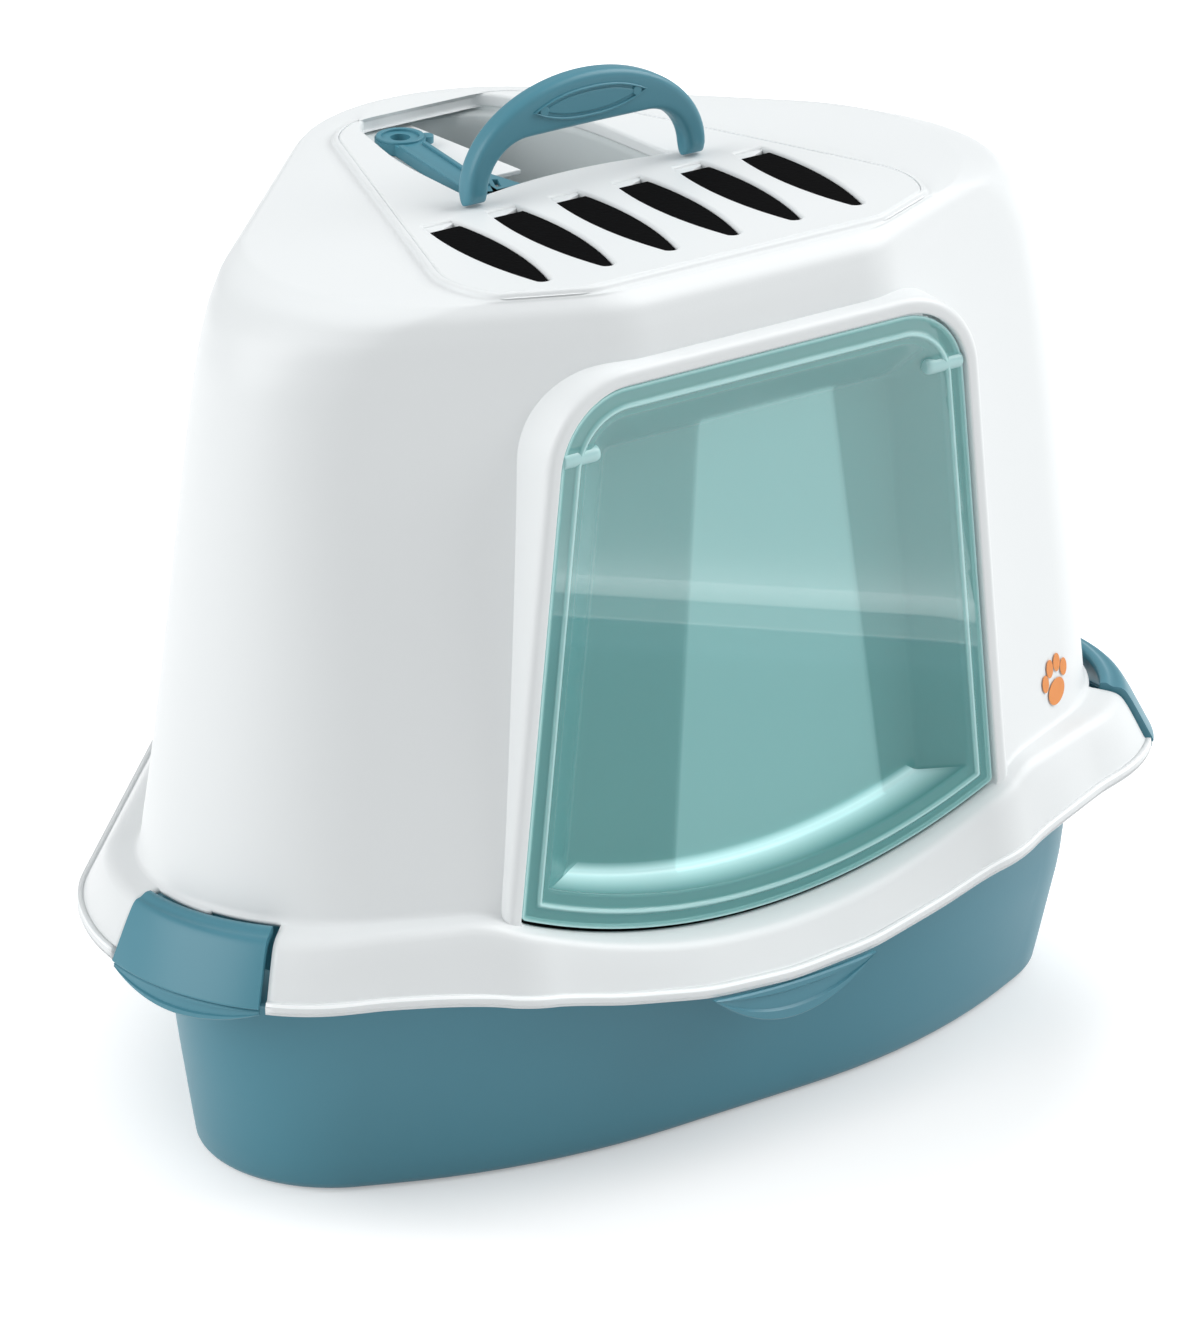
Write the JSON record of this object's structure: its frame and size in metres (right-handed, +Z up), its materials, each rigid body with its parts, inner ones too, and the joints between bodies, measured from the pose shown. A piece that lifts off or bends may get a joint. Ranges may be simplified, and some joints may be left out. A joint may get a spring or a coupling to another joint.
{
  "type": "corner litter box",
  "caption": "Hooded corner litter box: wide tray, lift-off hood with a swing door, side latches, a folding carry handle, a vented roof with a filter and a pocket for the scoop.",
  "frame": {"origin": "on the floor, under the middle of the tray", "axes": "+Z up, the door looks along -Y, +X towards the right wing seen from behind the door's back wall, the round corner points along +Y"},
  "size_m": [0.5878, 0.4151, 0.4955],
  "materials": {
    "white_plastic": "satin",
    "blue_plastic": "satin",
    "clear_teal": "satin, translucent",
    "black_foam": "open foam"
  },
  "bodies": {
    "tray": {"litter_tray": "blue_plastic"},
    "hood": {"hood": "white_plastic", "carbon_filter": "black_foam", "filter_holder": "white_plastic"},
    "door": {"swing_door": "clear_teal"},
    "latch_left": {"latch_left": "blue_plastic"},
    "latch_right": {"latch_right": "blue_plastic"},
    "handle": {"carry_handle": "blue_plastic"},
    "scoop": {"litter_scoop": "blue_plastic"}
  },
  "joints": [
    {"name": "hood_lift", "type": "slide", "parent": "tray", "child": "hood", "axis": [0, 0, 1], "range_m": [0, 0.35]},
    {"name": "door_swing", "type": "hinge", "parent": "hood", "child": "door", "pos_m": [0, -0.2046, 0.368], "axis": [1, 0, 0], "range_deg": [-65, 75]},
    {"name": "latch_left_turn", "type": "hinge", "parent": "hood", "child": "latch_left", "pos_m": [-0.26342, -0.12879, 0.146], "axis": [-0.3102, 0.9507, 0], "range_deg": [0, 45]},
    {"name": "latch_right_turn", "type": "hinge", "parent": "hood", "child": "latch_right", "pos_m": [0.26342, -0.12879, 0.146], "axis": [-0.3102, -0.9507, 0], "range_deg": [0, 45]},
    {"name": "handle_fold", "type": "hinge", "parent": "hood", "child": "handle", "pos_m": [0, -0.063, 0.4472], "axis": [1, 0, 0], "range_deg": [0, 90]},
    {"name": "scoop_lift", "type": "slide", "parent": "hood", "child": "scoop", "axis": [0, 0, 1], "range_m": [0, 0.13]}
  ]
}
